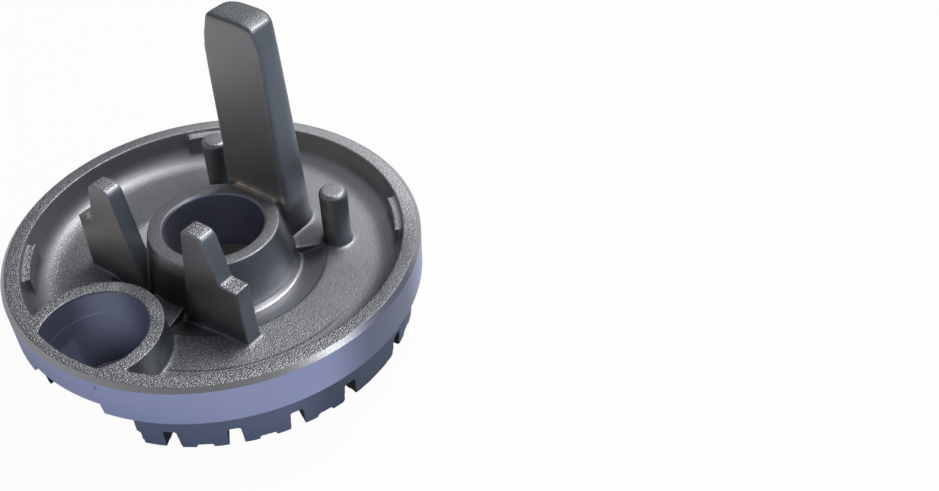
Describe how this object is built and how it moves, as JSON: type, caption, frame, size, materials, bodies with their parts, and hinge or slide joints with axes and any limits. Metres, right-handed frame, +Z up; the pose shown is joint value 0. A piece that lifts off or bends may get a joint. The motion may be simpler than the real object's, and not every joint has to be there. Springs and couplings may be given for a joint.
{
  "type": "gas burner cap",
  "caption": "Die-cast round gas burner head with a ported crown, central bore, D-shaped igniter window, and a tall guide leg, stepped fins and pins on its other side.",
  "frame": {"origin": "on the bore's axis, level with the tips of the ported crown that it stands on", "axes": "+Z up along the bore towards the guide leg's top, -Y towards the igniter window"},
  "size_m": [0.075, 0.075, 0.0555],
  "materials": {
    "cast_aluminium": "as cast, with a machined outer band"
  },
  "bodies": {
    "root": {"burner_cap_casting": "cast_aluminium"}
  },
  "joints": []
}
